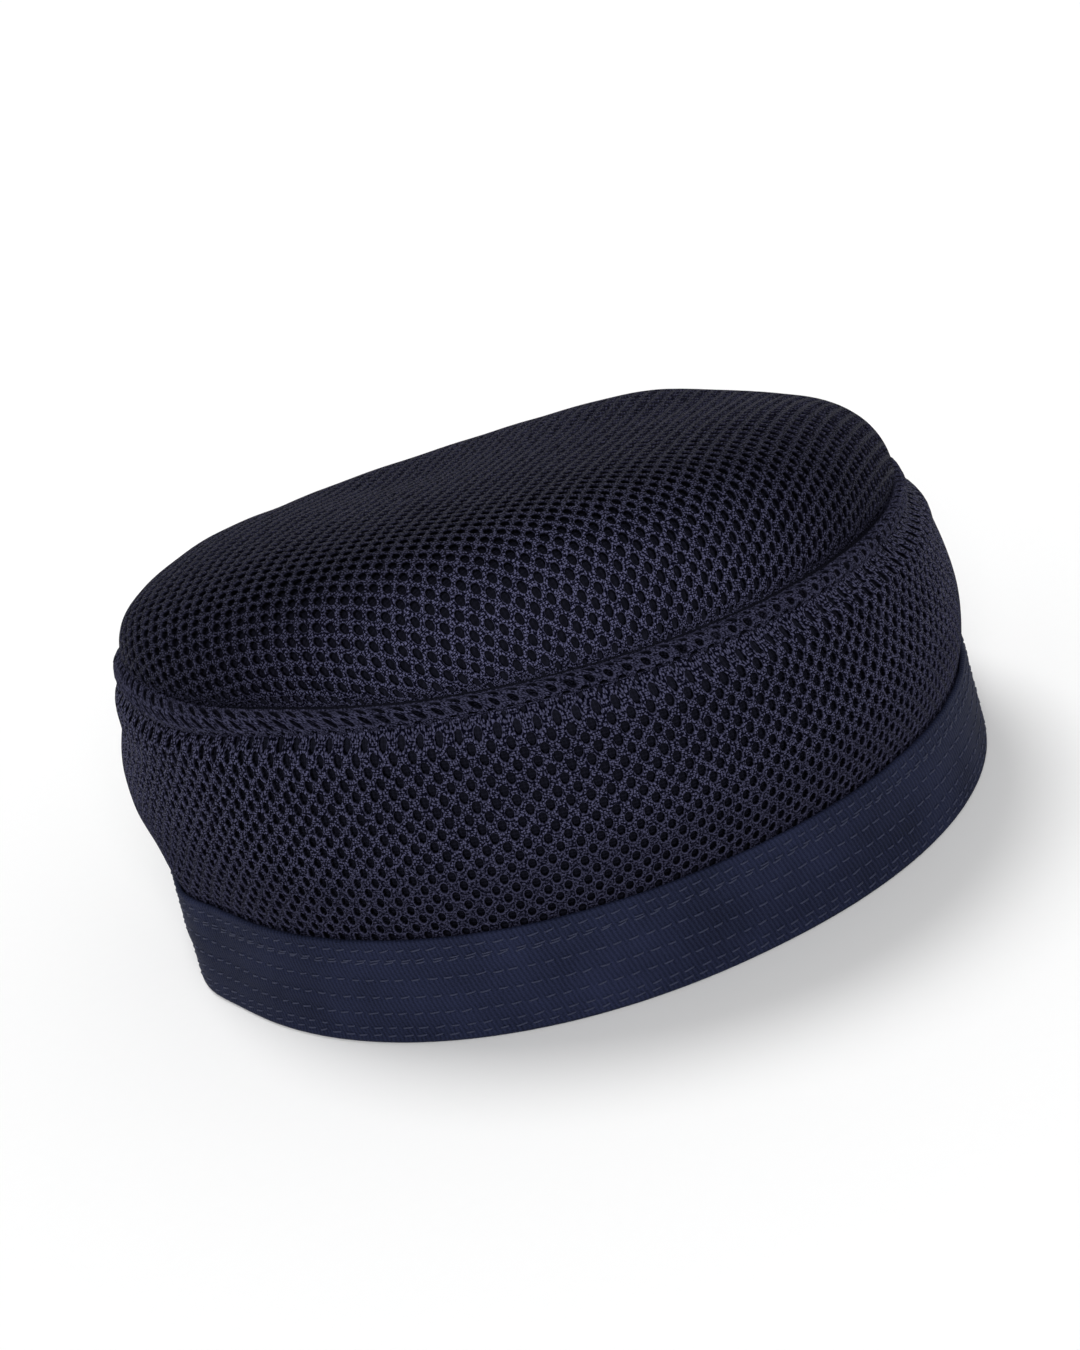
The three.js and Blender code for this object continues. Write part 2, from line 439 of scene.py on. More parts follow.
def welt_skin(shape, angle, turn, depth):
    """Oval bead between the welt's foot and head: minus the cosine of the angle across, its
    sine outward. Depth shrinks both half axes.

    The foot is moved up to make the bead slimmer, but down where it is swollen at the front
    left. The head is moved up at both ends and down a little between them. The bead stands out
    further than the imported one, most of all where it is swollen, and rises with the seam."""
    foot = section_point(shape, WELT_FOOT, turn)
    head = section_point(shape, WELT_HEAD, turn)
    swollen = hump(turn % 1.0, 0.54, 0.085)[..., None]
    foot = foot + (head - foot) * (0.3 - 0.45 * swollen)
    ends = hump(turn % 1.0, 0.47, 0.07) + hump((turn + 0.5) % 1.0, 0.47, 0.08)
    head = head + (head - foot) * (0.3 * ends[..., None] - 0.04)
    across = (head - foot) / 2
    half = np.linalg.norm(across, axis=-1, keepdims=True)
    along = np.stack([
        -(foot[..., 1] + head[..., 1]), foot[..., 0] + head[..., 0], np.zeros(foot.shape[:-1])
    ], axis=-1)
    outward = np.cross(along, across)
    outward /= np.linalg.norm(outward, axis=-1, keepdims=True)
    angle = np.asarray(angle)[..., None]
    depth = np.asarray(depth)[..., None]
    reach = shape.welt_proud + shape.welt_sunk + (0.5 + 0.9 * swollen) * MILLIMETRE - depth
    lift = np.stack([0 * turn, 0 * turn, seam_lift(turn)], axis=-1)
    return (
        (foot + head) / 2 + lift
        - np.cos(angle) * across * (1 - depth / half)
        + outward * (np.sin(angle) * reach - 0.35 * MILLIMETRE)
    )


# Meshes

def new_piece(name, points, corners, sizes, uv_maps, material, floats=()):
    """Object from points, the corners of all faces in a row and each face's number of corners."""
    mesh = bpy.data.meshes.new(name)
    mesh.vertices.add(len(points))
    mesh.vertices.foreach_set("co", np.asarray(points, np.float32).ravel())
    mesh.loops.add(len(corners))
    mesh.loops.foreach_set("vertex_index", np.asarray(corners, np.int32))
    mesh.polygons.add(len(sizes))
    starts = np.concatenate([[0], np.cumsum(sizes)[:-1]])
    mesh.polygons.foreach_set("loop_start", starts.astype(np.int32))
    mesh.polygons.foreach_set("loop_total", np.asarray(sizes, np.int32))
    mesh.polygons.foreach_set("use_smooth", np.ones(len(sizes), bool))
    for title, coordinates in uv_maps:
        layer = mesh.uv_layers.new(name=title)
        layer.data.foreach_set("uv", np.asarray(coordinates, np.float32).ravel())
    for title, values in floats:
        layer = mesh.attributes.new(title, "FLOAT", "POINT")
        layer.data.foreach_set("value", np.asarray(values, np.float32))
    mesh.update(calc_edges=True)
    mesh.validate()
    mesh.materials.append(material)
    piece = bpy.data.objects.new(name, mesh)
    bpy.context.scene.collection.objects.link(piece)
    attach(piece, "root")
    return piece


def grid_faces(around, stations, closed):
    """Quads of a grid that returns to itself round the turn, and along the stations if closed."""
    step = np.arange(stations if closed else stations - 1)
    turn = np.arange(around)
    step, turn = np.meshgrid(step, turn, indexing="ij")
    after = (turn + 1) % around
    above = (step + 1) % stations
    return np.stack([
        step * around + turn, step * around + after, above * around + after, above * around + turn
    ], axis=-1).reshape(-1, 4)


def grid_uv(around, stations, closed, circumference, lengths):
    """Corner coordinates in millimetres for grid_faces: way round, and way along the profile."""
    step = np.arange(stations if closed else stations - 1)
    step, turn = np.meshgrid(step, np.arange(around), indexing="ij")
    lengths = np.append(lengths, lengths[-1] + MILLIMETRE)
    left = turn / around * circumference
    right = (turn + 1) / around * circumference
    low = lengths[step]
    high = lengths[step + 1]
    corners = [
        np.stack([left, low], -1), np.stack([right, low], -1),
        np.stack([right, high], -1), np.stack([left, high], -1),
    ]
    return np.stack(corners, axis=-2).reshape(-1, 2) / MILLIMETRE


# One cell of the mesh: ten points on its six-sided border, ten on its hole
AROUND_HOLE = 10
RINGS = 4


def cell_border(across, row):
    """Six-sided cell of a staggered lattice, with the middles of its four slanting sides."""
    corner = (row ** 2 - across ** 2 / 4) / (2 * row)
    tip = (row ** 2 + across ** 2 / 4) / (2 * row)
    right = [(across / 2, corner), (across / 4, row / 2), (0.0, tip)]
    left = [(-across / 4, row / 2), (-across / 2, corner)]
    upper = np.array(right + left)
    return np.concatenate([upper, -upper])


def cell_faces(floors):
    """Quads between the rings of one cell, and a face over its hole if it has a floor."""
    ring, point = np.meshgrid(np.arange(RINGS - 1), np.arange(AROUND_HOLE), indexing="ij")
    after = (point + 1) % AROUND_HOLE
    quads = np.stack([
        ring * AROUND_HOLE + point, ring * AROUND_HOLE + after,
        (ring + 1) * AROUND_HOLE + after, (ring + 1) * AROUND_HOLE + point,
    ], axis=-1).reshape(-1, 4)
    floor = (RINGS - 1) * AROUND_HOLE + np.arange(AROUND_HOLE)
    return quads, floor if floors else None


Cells = namedtuple("Cells", "flat local depth")


def pierce(cloth, centres, across, row, openness, egg, groove, bottom):
    """Rings of every cell, from its border to inside its hole, in flat cloth.

    The hole is an oval whose width grows by egg toward its top. The second ring lies at 0.45 of
    the way from the hole to the border. Groove is the border's depth and bottom the hole's. Each
    depth is also the point's sink, from which the knit's material paints shade."""
    angle = np.radians(18 + 36 * np.arange(AROUND_HOLE))
    border = np.broadcast_to(cell_border(across, row), (len(centres), AROUND_HOLE, 2))
    wide = cloth.hole_width / 2 * openness[:, None]
    high = cloth.hole_height / 2 * openness[:, None]
    hole = np.stack([
        wide * np.cos(angle) * (1 + egg[:, None] * np.sin(angle)), high * np.sin(angle)
    ], axis=-1)
    crest = hole + 0.45 * (border - hole)
    local = np.stack([border, crest, hole, hole * 0.93], axis=1)
    brim = 0.28 * MILLIMETRE * openness
    depth = np.stack([groove, np.zeros(len(centres)), brim, bottom], axis=1)
    depth = np.repeat(depth[:, :, None], AROUND_HOLE, axis=2)
    return Cells(centres[:, None, None, :] + local, local, depth)


def cell_keys(cells, across, row, columns=None, rows=None):
    """Whole numbers of each point, equal where the points of neighbouring cells meet: its place
    in thousandths of a column and ten-thousandths of a row, and its depth but on the border.

    A number of columns or rows makes the pattern return to itself that way."""
    along = np.round(cells.flat[..., 0] / across * 1000)
    upward = np.round(cells.flat[..., 1] / row * 10000)
    if columns:
        along = along % (columns * 1000)
    if rows:
        upward = upward % (rows * 10000)
    sunk = np.round(cells.depth / MILLIMETRE * 100) * (np.arange(RINGS) > 0)[None, :, None]
    return np.stack([along, upward, sunk], axis=-1).astype(np.int64)


def lay_cells(name, cells, keys, place, beyond, material, floors=False):
    """Mesh of all cells: equal keys become one point, and faces past the edge are left out.

    place gives the point of each flat place and depth."""
    count = len(cells.flat)
    each = RINGS * AROUND_HOLE
    _, first, index = np.unique(
        keys.reshape(-1, 3), axis=0, return_index=True, return_inverse=True
    )
    index = index.reshape(-1)
    flat = cells.flat.reshape(-1, 2)
    local = cells.local.reshape(-1, 2)
    depth = cells.depth.reshape(-1)
    outside = beyond.reshape(-1)
    quads, floor = cell_faces(floors)
    starts = (np.arange(count) * each)[:, None, None]
    quads = (starts + quads[None]).reshape(-1, 4)
    kept = quads[~outside[quads].all(axis=1)]
    corners = kept.ravel()
    sizes = np.full(len(kept), 4)
    if floor is not None:
        fans = starts[:, 0] + floor[None]
        fans = fans[~outside[fans].all(axis=1)]
        corners = np.concatenate([corners, fans.ravel()])
        sizes = np.concatenate([sizes, np.full(len(fans), AROUND_HOLE)])
    used, welded = np.unique(index[corners], return_inverse=True)
    source = first[used]
    points = place(flat[source], depth[source])
    # Each point's depth, in mm, is kept as its sink, from which the material paints shade
    return new_piece(
        name, points, welded.reshape(-1), sizes,
        [("hole", local[corners] / MILLIMETRE), ("fabric", flat[corners] / MILLIMETRE)],
        material, [("sink", depth[source] / MILLIMETRE)],
    )


# Materials

class Wire:
    """A number in a material. Arithmetic on it adds Math nodes."""

    def __init__(self, web, socket):
        self.web = web
        self.socket = socket

    def math(self, operation, *others, clamp=False):
        """Math node of this number and others."""
        values = dict(enumerate((self,) + others))
        settings = {"operation": operation, "use_clamp": clamp}
        return Wire(self.web, self.web.add("ShaderNodeMath", settings, values).outputs[0])

    def swapped(self, operation, other):
        """Math node with the other number first."""
        settings = {"operation": operation}
        return Wire(
            self.web, self.web.add("ShaderNodeMath", settings, {0: other, 1: self}).outputs[0]
        )

    def __add__(self, other):
        return self.math("ADD", other)

    def __radd__(self, other):
        return self.math("ADD", other)

    def __sub__(self, other):
        return self.math("SUBTRACT", other)

    def __rsub__(self, other):
        return self.swapped("SUBTRACT", other)

    def __mul__(self, other):
        return self.math("MULTIPLY", other)

    def __rmul__(self, other):
        return self.math("MULTIPLY", other)

    def __truediv__(self, other):
        return self.math("DIVIDE", other)

    def __pow__(self, other):
        return self.math("POWER", other)

    def __abs__(self):
        return self.math("ABSOLUTE")

    def sine(self):
        """Sine of this number, from -1 to 1."""
        return self.math("SINE")

    def clamped(self):
        """This number kept between 0 and 1."""
        return self.math("ADD", 0.0, clamp=True)

    def between(self, low, high):
        """Smooth rise from 0 at low to 1 at high."""
        settings = {"interpolation_type": "SMOOTHSTEP"}
        sockets = {"Value": self, "From Min": low, "From Max": high}
        return Wire(self.web, self.web.add("ShaderNodeMapRange", settings, sockets).outputs[0])


class Web:
    """Node tree of a new material, or of the world given."""

    def __init__(self, name, world=None):
        self.owner = world or bpy.data.materials.new(name)
        self.owner.use_nodes = True
        self.tree = self.owner.node_tree
        self.tree.nodes.clear()

    def add(self, kind, settings=None, sockets=None):
        """Node of a kind, with its settings set first and then its sockets' values or links."""
        node = self.tree.nodes.new(kind)
        for key, value in (settings or {}).items():
            setattr(node, key, value)
        for key, value in (sockets or {}).items():
            value = value.socket if isinstance(value, Wire) else value
            if isinstance(value, bpy.types.NodeSocket):
                self.tree.links.new(value, node.inputs[key])
            else:
                node.inputs[key].default_value = value
        return node

    def map(self, title):
        """The piece's own coordinates of that name, as a vector and its two numbers."""
        vector = self.add("ShaderNodeUVMap", {"uv_map": title}).outputs[0]
        parts = self.add("ShaderNodeSeparateXYZ", None, {0: vector})
        return vector, Wire(self, parts.outputs[0]), Wire(self, parts.outputs[1])

    def attribute(self, title):
        """The piece's own number of that name."""
        return Wire(self, self.add("ShaderNodeAttribute", {"attribute_name": title}).outputs["Fac"])

    def noise(self, vector, scale, detail=2.0, roughness=0.5):
        """Smooth noise from 0 to 1."""
        sockets = {"Vector": vector, "Scale": scale, "Detail": detail, "Roughness": roughness}
        return Wire(self, self.add("ShaderNodeTexNoise", None, sockets).outputs[0])

    def loops(self, vector, scale):
        """Round knobs of yarn: 1 at the middle of each, 0 between them."""
        settings = {"voronoi_dimensions": "2D", "feature": "F1"}
        sockets = {"Vector": vector, "Scale": scale, "Randomness": 0.85}
        away = Wire(self, self.add("ShaderNodeTexVoronoi", settings, sockets).outputs["Distance"])
        return 1 - away.between(0.1, 0.62)

    def stretched(self, vector, along, across):
        """Coordinates with each number times its own factor."""
        settings = {"operation": "MULTIPLY"}
        sockets = {0: vector, 1: (along, across, 1.0)}
        return self.add("ShaderNodeVectorMath", settings, sockets).outputs[0]

    def blend(self, share, low, high):
        """Colour between two, at a share."""
        low = low if isinstance(low, bpy.types.NodeSocket) else (*low, 1.0)
        high = high if isinstance(high, bpy.types.NodeSocket) else (*high, 1.0)
        settings = {"data_type": "RGBA"}
        return self.add("ShaderNodeMix", settings, {0: share, 6: low, 7: high}).outputs[2]

    def dim(self, base, share):
        """Colour times a number."""
        return self.add(
            "ShaderNodeVectorMath", {"operation": "SCALE"}, {0: base, "Scale": share}
        ).outputs[0]

    def surface(self, base, roughness, height, distance, **fixed):
        """Cloth shader with a bump of that height over that distance."""
        bump = self.add("ShaderNodeBump", None, {"Height": height, "Distance": distance})
        sockets = {"Base Color": base, "Roughness": roughness, "Normal": bump.outputs[0]}
        shader = self.add("ShaderNodeBsdfPrincipled", None, {**sockets, **fixed})
        self.add("ShaderNodeOutputMaterial", None, {"Surface": shader.outputs[0]})
        return self.owner


def mesh_face_material(name, colours, softness=0.0, tone=1.0, front=0.0, smooth_below=0.0):
    """Knit face of the mesh: knobs of yarn, short bars between side-by-side holes, and a thread
    drawn round each hole.

    Softness flattens the knit. Tone scales the colour: below 1 it is painted shade. Front is the
    share of painted light by which it is brighter at the cap's front than at its middle. Below the
    height smooth_below, in mm, the cloth is pulled smooth. The colour is painted lighter where the
    knit stands high, a painted highlight on the loops and painted shade between them, and painted
    shade darkens it with the sink of each point in holes, grooves and dimples."""
    web = Web(name)
    fabric, _, rise = web.map("fabric")
    _, x, y = web.map("hole")
    sink = web.attribute("sink")
    away = ((x / 0.93) ** 2.0 + (y / 1.45) ** 2.0) ** 0.5
    rim = 1 - abs(away - 1.06).between(0.0, 0.24)
    knobs = web.loops(web.stretched(fabric, 1.0, 0.82), 1.75)
    fine = web.noise(fabric, 1.9, 2.0, 0.6)
    beside = abs(x).between(1.1, 1.4) * (1 - abs(y).between(0.6, 1.0))
    bars = (y * (2 * math.pi / 0.44)).sine() * 0.5 + 0.5
    knit = knobs * (1 - beside * 0.4) + bars * beside * 0.4
    if smooth_below:
        smooth = 1 - rise.between(0.35 * smooth_below, smooth_below)
        knit = knit * (1 - smooth * 0.7) + smooth * 0.26
        rim = rim * (0.85 + smooth * 0.1)
    else:
        rim = rim * 0.85
    knit = knit * (1 - softness) + softness * 0.5
    height = knit * (1 - rim) + rim * 0.62
    grain = (fine - 0.5) * (2.4 - 1.6 * softness) * (1 - rim * 0.6)
    # Painted highlight and shade: the colour is lighter where the knit stands high and darker where
    # it sinks
    bright = (height * 1.6 + grain - 0.5).clamped()
    # Painted shade: darker the deeper the point sinks, in holes, grooves and dimples
    shade = 1 - sink.between(0.1, 0.6) * 0.9
    # Painted light: brighter toward the cap's front edge
    if front:
        place = web.add("ShaderNodeTexCoord").outputs["Object"]
        forward = web.add("ShaderNodeVectorMath", {"operation": "DOT_PRODUCT"}, {
            0: place, 1: (-0.25, -0.97, 0.0)
        })
        shade = shade * (1 + Wire(web, forward.outputs["Value"]).between(0.05, 0.088) * front)
    # Tone below 1 darkens the whole colour as painted shade
    base = web.dim(web.blend(bright, colours.mesh_low, colours.mesh_high), shade * tone)
    rough = 0.72 - bright * 0.2
    fixed = {"Specular IOR Level": 0.035, "Specular Tint": (0.5, 0.52, 1.0, 1.0)}
    return web.surface(base, rough, height + fine * 0.3, 0.16 * MILLIMETRE, **fixed)


def mesh_back_material(name, colours):
    """Closed back of the mesh: fine crossing yarns, nearly black."""
    web = Web(name)
    fabric, x, y = web.map("fabric")
    wales = (x * (2 * math.pi / 0.9)).sine() * 0.5 + 0.5
    rows = (y * (2 * math.pi / 0.7)).sine() * 0.5 + 0.5
    weave = wales * 0.5 + rows * 0.5
    fine = web.noise(fabric, 0.5, 4.0, 0.6)
    low = tuple(value * 0.6 for value in colours.back)
    high = tuple(value * 1.7 for value in colours.back)
    base = web.blend((weave * 0.6 + fine * 0.5).clamped(), low, high)
    fixed = {"Specular IOR Level": 0.04}
    return web.surface(base, 0.85 - fine * 0.1, weave, 0.2 * MILLIMETRE, **fixed)


def twill_material(name, colours):
    """Twill of the headband: steep ribs of crossing yarn, with slow changes of tone."""
    web = Web(name)
    fabric, x, y = web.map("fabric")
    drift = web.noise(fabric, 0.35, 2.0, 0.5) - 0.5
    slant = x + y * 0.32 + drift * 0.5
    ribs = (slant * (2 * math.pi / 1.05)).sine() * 0.5 + 0.5
    picks = ((y - x * 0.25) * (2 * math.pi / 0.42)).sine() * 0.5 + 0.5
    speckle = web.noise(fabric, 2.6, 2.0, 0.6)
    tone = web.noise(fabric, 0.045, 3.0, 0.55)
    height = ribs * 0.5 + picks * 0.3 + speckle * 0.7
    # Painted highlight and shade: the colour is lighter where the twill stands high and darker
    # between its ribs; the slow tone varies at random
    bright = (height * 0.62 + (speckle - 0.5) * 0.7 + (tone - 0.5) * 0.9).clamped()
    base = web.blend(bright, colours.tape_low, colours.tape_high)
    fixed = {"Specular IOR Level": 0.08, "Specular Tint": (0.7, 0.76, 1.0, 1.0)}
    return web.surface(base, 0.8 - ribs * 0.12, height, 0.14 * MILLIMETRE, **fixed)


def thread_material(name, colours):
    """Sewing thread: slanting plies, glossier than the cloth."""
    web = Web(name)
    fabric, x, y = web.map("fabric")
    plies = ((x * 2.2 + y * 1.3) * (2 * math.pi)).sine() * 0.5 + 0.5
    tone = web.noise(fabric, 0.4, 2.0, 0.5)
    low = tuple(value * 0.62 for value in colours.thread)
    base = web.blend((plies * 0.5 + tone * 0.6).clamped(), low, colours.thread)
    fixed = {"Specular IOR Level": 0.2, "Specular Tint": (0.8, 0.85, 1.0, 1.0)}
    return web.surface(base, 0.5 + tone * 0.15, plies, 0.06 * MILLIMETRE, **fixed)


def floor_material(name, colours):
    """Matt white table with a very faint grain."""
    web = Web(name)
    place = web.add("ShaderNodeTexCoord").outputs["Object"]
    grain = web.noise(place, 300.0, 2.0, 0.5)
    low = tuple(value * 0.99 for value in colours.floor)
    base = web.blend(grain, low, colours.floor)
    return web.surface(base, 0.9, grain, 0.02 * MILLIMETRE)


# Pieces

class CAP_OT_wall(bpy.types.Operator):
    """Side wall: pierced face over a closed back, from inside the headband up to the welt."""

    bl_idname = "cap.wall"
    bl_label = "Side wall"

    def execute(self, context):
        shape = context.scene.cap_shape
        cloth = context.scene.cap_cloth
        colours = context.scene.cap_colours
        lengths = wall_lengths(shape)
        longest = lengths.max()
        columns = cloth.columns
        across = cloth.column_pitch
        row = cloth.row_pitch
        height_at = lengths + cloth.row_ease * (longest - lengths)
        rows = int(longest / row) + 1
        column, level = np.meshgrid(np.arange(columns), np.arange(-1, rows + 1), indexing="xy")
        first_row = 0.2 * MILLIMETRE
        centres = np.stack([
            (column + 0.5 * (level % 2)) * across, level * row + first_row
        ], axis=-1).reshape(-1, 2)
        count = len(centres)
        round_turn = centres[:, 0] / (columns * across)
        share = centres[:, 1] / periodic(height_at, round_turn)
        left_over = (1 - share) * periodic(lengths, round_turn)
        lower = 1 - ease(share, 0.25, 0.6)
        chance = np.random.default_rng(WALL_SEED)
        openness = 0.55 + 0.45 * ease(left_over, 0.0, 0.0045)
        openness = openness * (1 - 0.08 * lower) * chance.normal(1.0, 0.025, count)
        far = ease(left_over, 0.0, 0.005)
        # A deeper groove in the lower wall sinks the cell borders, which the material also paints
        # darker as shade
        cells = pierce(
            cloth, centres, across, row, openness,
            egg=0.14 * (1 - lower),
            groove=(-0.03 + 0.3 * lower) * MILLIMETRE,
            bottom=SEWN_BOTTOM + (cloth.face_depth - SEWN_BOTTOM) * far,
        )
        keys = cell_keys(cells, across, row, columns)
        turn = cells.flat[..., 0] / (columns * across)
        beyond = cells.flat[..., 1] / periodic(height_at, turn) >= 1.0

        def place(flat, depth):
            turn = flat[:, 0] / (columns * across)
            share = np.minimum(flat[:, 1] / periodic(height_at, turn), 1.0)
            return wall_skin(shape, cloth, share, turn, depth)

        face = lay_cells(
            "wall_mesh_face", cells, keys, place, beyond,
            mesh_face_material("wall mesh", colours, smooth_below=26.0),
        )
        back = self.back(shape, cloth, colours)
        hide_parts("side_wall")
        flat = (columns * across, longest + shape.band_height)
        return {"FINISHED"}

    def back(self, shape, cloth, colours):
        """Closed shell behind the face: out along its face side, back along its inner side.

        Its face side comes nearer to the face toward the top, where the holes are shallow."""
        around = 288
        top_depth = 0.6 * MILLIMETRE
        tucked = shape.tape_thickness + shape.sewn_gap
        wall_height = shape.seam_height - shape.band_height
        lowest = (tucked - shape.band_height) / wall_height
        under = np.linspace(lowest, -0.02, 8)
        above = np.linspace(0.0, 1.0, 41)
        share = np.concatenate([under, above])
        near = ease(1 - share, 0.0, 0.11)
        outer = top_depth + (cloth.back_depth - top_depth) * near
        depth = np.concatenate([outer, np.full(len(share), shape.mesh_thickness)])
        share = np.concatenate([share, share[::-1] * 0.985])
        turn = np.arange(around) / around
        points = wall_skin(
            shape, cloth, share[:, None] + 0 * turn, turn + 0 * share[:, None], depth[:, None]
        )
        lengths = np.cumsum(np.abs(np.diff(share, prepend=share[0]))) * wall_height
        faces = grid_faces(around, len(share), closed=True)
        round_length = cloth.columns * cloth.column_pitch
        return new_piece(
            "wall_mesh_back", points.reshape(-1, 3), faces.ravel(), np.full(len(faces), 4),
            [("fabric", grid_uv(around, len(share), True, round_length, lengths))],
            mesh_back_material("wall mesh back", colours),
        )


class CAP_OT_crown(bpy.types.Operator):
    """Crown: pierced face over a closed back, its rows across the cap."""

    bl_idname = "cap.crown"
    bl_label = "Crown"

    def execute(self, context):
        shape = context.scene.cap_shape
        cloth = context.scene.cap_cloth
        colours = context.scene.cap_colours
        table = map_crown(shape)
        across = cloth.column_pitch
        row = cloth.row_pitch
        reach = table.lengths.max() + 2 * across
        columns = int(reach / across) + 1
        rows = int(reach / row) + 1
        column, level = np.meshgrid(
            np.arange(-columns, columns + 1), np.arange(-rows, rows + 1), indexing="xy"
        )
        centres = np.stack([
            (column + 0.5 * (level % 2)) * across, level * row
        ], axis=-1).reshape(-1, 2)

        def polar(flat):
            """Share of the profile's length and turn of a place in the flat cloth."""
            c = math.cos(cloth.crown_turn)
            s = math.sin(cloth.crown_turn)
            x = flat[..., 0] * c - flat[..., 1] * s
            y = flat[..., 0] * s + flat[..., 1] * c
            start = table.angles[0]
            angle = (np.arctan2(y, x) - start) % (2 * np.pi) + start
            turn = np.interp(angle, table.angles, table.turns)
            return np.hypot(x, y) / periodic(table.lengths, turn), turn

        share, turn = polar(centres)
        centres = centres[share < 1.04]
        share, turn = polar(centres)
        count = len(centres)
        left_over = (1 - share) * periodic(table.lengths, turn)
        chance = np.random.default_rng(CROWN_SEED)
        openness = (0.6 + 0.4 * ease(left_over, 0.0, 0.003)) * chance.normal(1.0, 0.025, count)
        far = ease(left_over, 0.0, 0.004)
        # Toward the edge the groove tucks the cell borders in, and the material paints them darker as
        # shade along the crease
        cells = pierce(
            cloth, centres, across, row, openness,
            egg=np.full(count, 0.1),
            groove=(0.02 + 0.2 * (1 - ease(left_over, 0.0, 0.002))) * MILLIMETRE,
            bottom=SEWN_BOTTOM + (cloth.face_depth - SEWN_BOTTOM) * far,
        )
        keys = cell_keys(cells, across, row)
        beyond = polar(cells.flat)[0] >= 1.0

        def place(flat, depth):
            share, turn = polar(flat)
            return crown_skin(shape, cloth, table, np.minimum(share, 1.0), turn, depth)

        # The crown is the wall's cloth: tone 0.52 paints it darker as shade, and front paints it
        # lighter toward its front edge as light
        face = lay_cells(
            "crown_mesh_face", cells, keys, place, beyond,
            mesh_face_material("crown mesh", colours, tone=0.52, front=1.6),
        )
        back = self.back(shape, cloth, colours, table)
        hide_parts("crown_panel")
        half_length = periodic(table.lengths, np.array([0.0, 0.5])).sum()
        half_width = periodic(table.lengths, np.array([0.25, 0.75])).sum()
        math.pi / 4 * half_length * half_width
        return {"FINISHED"}

    def back(self, shape, cloth, colours, table):
        """Closed shell behind the face, from its inner middle round its edge to its outer middle.

        At its edge it turns out and down into the welt, so that no light comes in there."""
        around = 216
        edge_depth = 0.3 * MILLIMETRE
        into_welt = 1.6 * MILLIMETRE
        share = np.sin(np.linspace(0, 1, 48)[1:] * np.pi / 2)
        near = ease(1 - share, 0.0, 0.05)
        outer = edge_depth + (cloth.back_depth - edge_depth) * near
        outer = outer - into_welt * ease(share, 0.997, 1.0)
        depth = np.concatenate([np.full(len(share), shape.mesh_thickness), outer[::-1]])
        share = np.concatenate([share, share[::-1]])
        turn = np.arange(around) / around
        points = crown_skin(
            shape, cloth, table, share[:, None] + 0 * turn, turn + 0 * share[:, None],
            depth[:, None],
        )
        points[..., 2] -= into_welt * ease(share, 0.99, 1.0)[:, None]
        points = points.reshape(-1, 3)
        middle = np.zeros(1)
        poles = [
            crown_skin(shape, cloth, table, middle, middle, depth[:1]),
            crown_skin(shape, cloth, table, middle, middle, depth[-1:]),
        ]
        faces = grid_faces(around, len(share), closed=False)
        step = np.arange(around)
        after = (step + 1) % around
        last = (len(share) - 1) * around
        inner = np.stack([np.full(around, len(points)), after, step], -1)
        outer = np.stack([np.full(around, len(points) + 1), last + step, last + after], -1)
        corners = np.concatenate([faces.ravel(), inner.ravel(), outer.ravel()])
        sizes = np.concatenate([np.full(len(faces), 4), np.full(2 * around, 3)])
        points = np.concatenate([points, *poles])
        return new_piece(
            "crown_mesh_back", points, corners, sizes,
            [("fabric", points[corners][:, :2] / MILLIMETRE)],
            mesh_back_material("crown mesh back", colours),
        )


class CAP_OT_welt(bpy.types.Operator):
    """Rolled welt between wall and crown, its holes pulled nearly shut."""

    bl_idname = "cap.welt"
    bl_label = "Welt"

    def execute(self, context):
        shape = context.scene.cap_shape
        cloth = context.scene.cap_cloth
        colours = context.scene.cap_colours
        columns = cloth.columns
        across = cloth.column_pitch
        row = WELT_CLOTH / WELT_ROWS
        column, level = np.meshgrid(np.arange(columns), np.arange(WELT_ROWS), indexing="xy")
        centres = np.stack([
            (column + 0.5 * (level % 2)) * across, (level + 0.83) * row
        ], axis=-1).reshape(-1, 2)
        count = len(centres)
        chance = np.random.default_rng(WELT_SEED)
        openness = 1.02 * chance.normal(1.0, 0.07, count)
        # The dimples' bottoms sink the points, which the material paints darker as shade
        cells = pierce(
            cloth, centres, across, row, openness,
            egg=np.full(count, 0.1),
            groove=np.full(count, 0.1 * MILLIMETRE),
            bottom=0.7 * MILLIMETRE * chance.normal(1.0, 0.15, count),
        )
        keys = cell_keys(cells, across, row, columns, WELT_ROWS)

        def place(flat, depth):
            turn = flat[:, 0] / (columns * across)
            angle = flat[:, 1] / (WELT_ROWS * row) * 2 * np.pi
            # The holes slant along the bead, most of all at the -X end
            left = np.clip(-np.cos(turn * 2 * np.pi), 0.0, 1.0)
            slant = (0.0012 + 0.004 * left ** 2) / (columns * across)
            turned = turn + slant * np.cos(angle)
            ripple = 0.12 * MILLIMETRE * waves(turn * 6, angle)
            return welt_skin(shape, angle, turned, depth - ripple)

        roll = lay_cells(
            "welt_roll", cells, keys, place, np.zeros(cells.depth.shape, bool),
            mesh_face_material("welt mesh", colours, softness=0.6), floors=True,
        )
        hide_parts("crown_welt")
        return {"FINISHED"}


def stitch_dents(shape, stitching, height, turn):
    """Depth pressed into the headband at a height: a narrow dip at each row of stitches,
    deeper at the ends of each stitch."""
    pulled = 0.8 + 0.2 * np.cos(turn * stitching.per_row * 2 * np.pi)
    depth = 0.0
    for number, share in enumerate(STITCH_ROWS):
        row = (1 - share) * shape.band_height
        narrow = 0.0009 if number == DOUBLE_ROW else 0.0006
        depth = depth + np.exp(-((height - row) / narrow) ** 2)
    return stitching.sink * depth * pulled - 0.08 * MILLIMETRE


def band_skin(shape, stitching, height, turn, inset):
    """Outer face of the headband with its stitched dents and slight waves."""
    uneven = 0.12 * MILLIMETRE * waves(turn * 2, height / shape.band_height)
    pressed = stitch_dents(shape, stitching, height, turn)
    return band_point(shape, height / shape.band_height, turn, inset + pressed - uneven)


